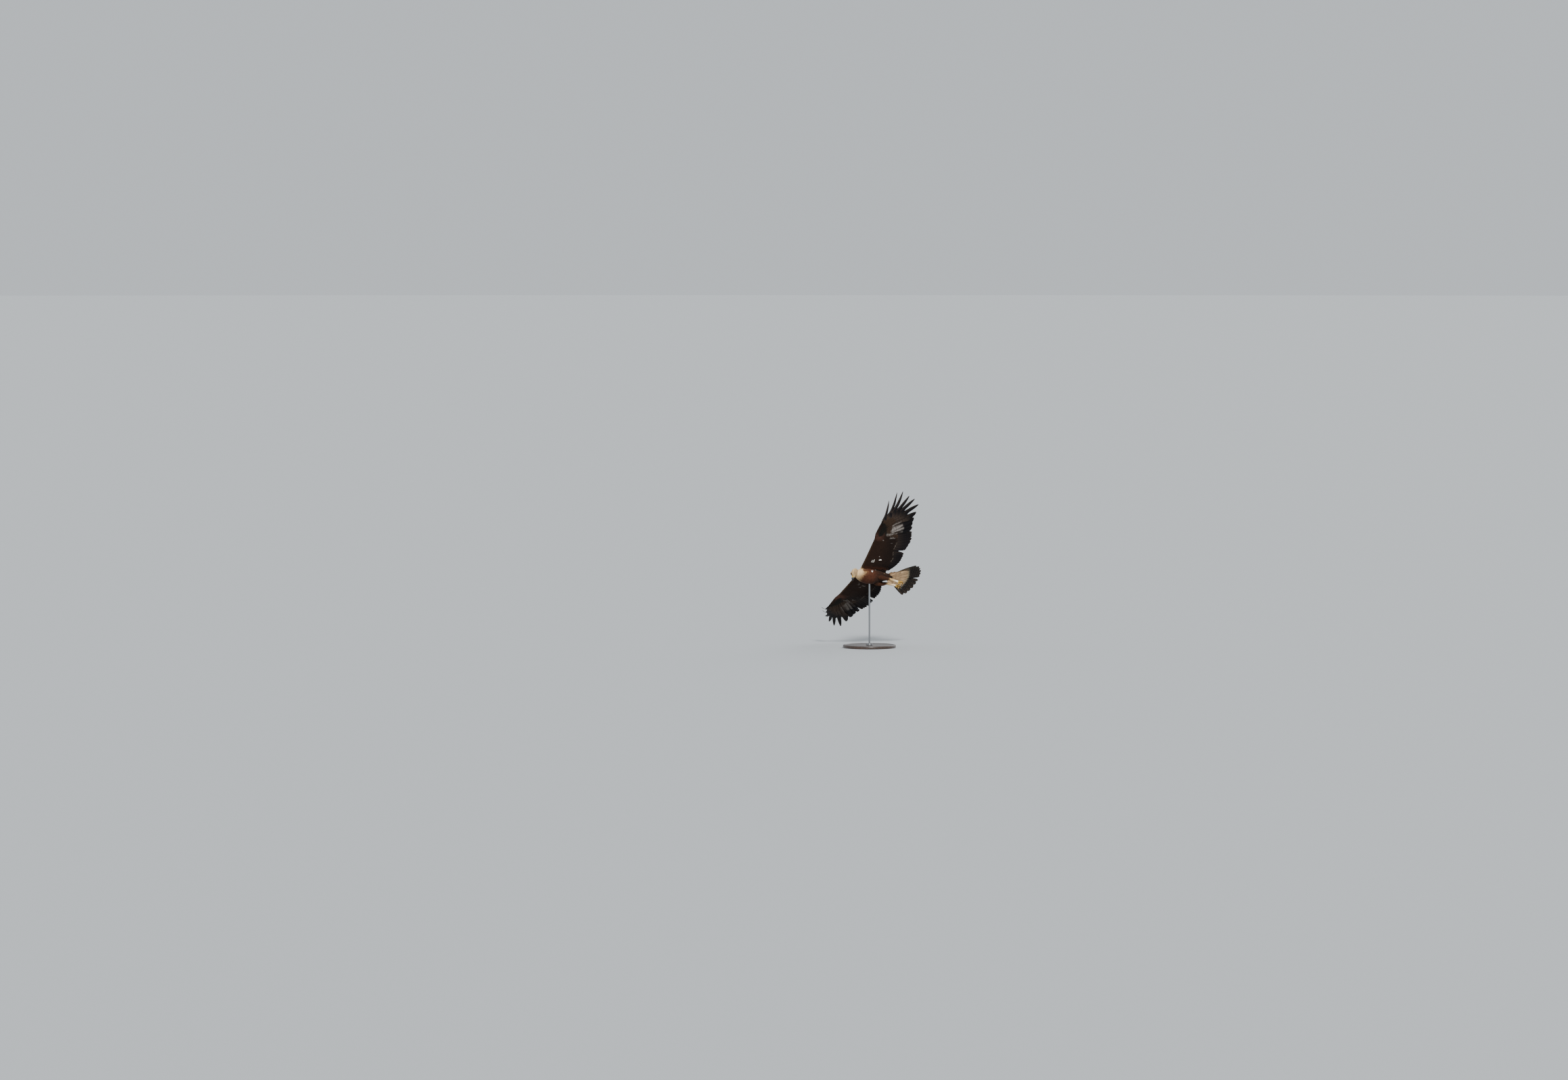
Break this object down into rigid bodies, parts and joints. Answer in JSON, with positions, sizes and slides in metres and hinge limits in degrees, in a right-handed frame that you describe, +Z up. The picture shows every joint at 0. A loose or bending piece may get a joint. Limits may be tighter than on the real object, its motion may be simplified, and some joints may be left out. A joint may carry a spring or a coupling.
{
  "type": "golden eagle display model",
  "caption": "Life-size golden eagle soaring in a steep bank, wings and tail spread, feet tucked, on a round base with one slim rod.",
  "frame": {"origin": "centre of the base's underside, on the floor", "axes": "+Z up; the bird flies towards -X and a little towards -Y, banked to its right, so its left wing is high and its right wing low"},
  "size_m": [1.0559, 1.1537, 1.6743],
  "materials": {
    "brown_plumage": "small overlapping body feathers, dark rufous brown",
    "golden_plumage": "pointed golden to cream hackles",
    "flight_feathers": "smooth dark brown vanes with a soft sheen",
    "leg_down": "short pale feathering",
    "yellow_skin": "bare yellow skin, finely scaled",
    "horn": "dark horn, satin",
    "eye": "hazel brown, wet gloss",
    "stand_wood": "dark stained board, satin lacquer",
    "stand_steel": "plain brushed rod"
  },
  "bodies": {
    "root": {"torso": "brown_plumage", "neck": "golden_plumage", "head": "golden_plumage", "cere": "yellow_skin", "bill_upper": "horn", "bill_lower": "horn", "eye_left": "eye", "eye_right": "eye", "wing_left_upper_arm": "flight_feathers", "wing_left_forearm": "flight_feathers", "wing_left_hand": "flight_feathers", "wing_right_upper_arm": "flight_feathers", "wing_right_forearm": "flight_feathers", "wing_right_hand": "flight_feathers", "tail": "flight_feathers", "thigh_left": "brown_plumage", "tarsus_left": "leg_down", "foot_left": "yellow_skin", "claw_left_middle": "horn", "claw_left_inner": "horn", "claw_left_outer": "horn", "claw_left_hind": "horn", "thigh_right": "brown_plumage", "tarsus_right": "leg_down", "foot_right": "yellow_skin", "claw_right_middle": "horn", "claw_right_inner": "horn", "claw_right_outer": "horn", "claw_right_hind": "horn", "stand_base": "stand_wood", "stand_flange": "stand_steel", "stand_rod": "stand_steel"}
  },
  "joints": []
}
